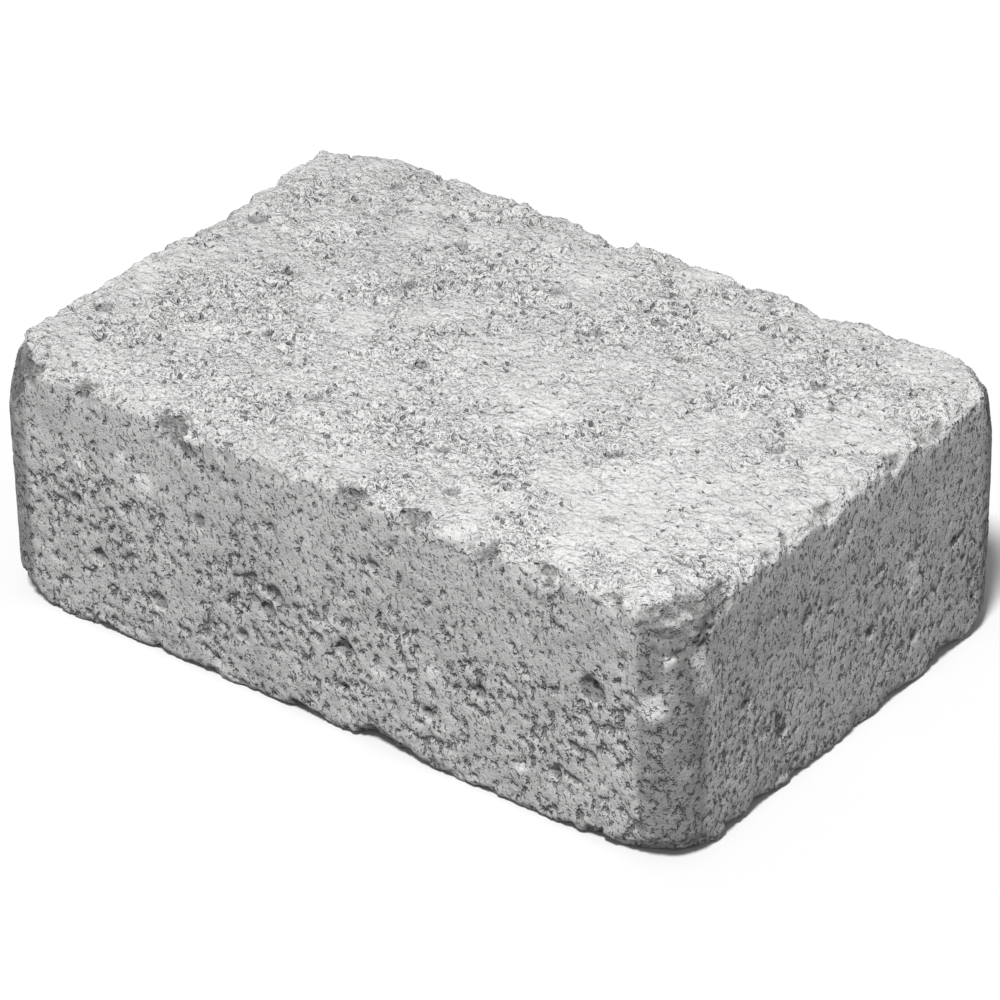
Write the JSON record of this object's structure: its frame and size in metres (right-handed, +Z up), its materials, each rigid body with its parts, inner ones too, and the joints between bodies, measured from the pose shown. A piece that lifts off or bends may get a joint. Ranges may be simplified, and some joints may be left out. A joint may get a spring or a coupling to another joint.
{
  "type": "concrete paving stone",
  "caption": "Rectangular tumbled concrete paving block with a flat bed and wearing face, worn and spalled arrises and knocked-off corners, for paths, drives and terraces.",
  "frame": {"origin": "centre of the bed face's outline, on the ground", "axes": "+X along the length, +Y along the width, +Z up from the bed face to the wearing face"},
  "size_m": [0.21, 0.14, 0.07],
  "materials": {
    "concrete": "rough, porous, unsealed"
  },
  "bodies": {
    "root": {"paving_stone": "concrete"}
  },
  "joints": []
}
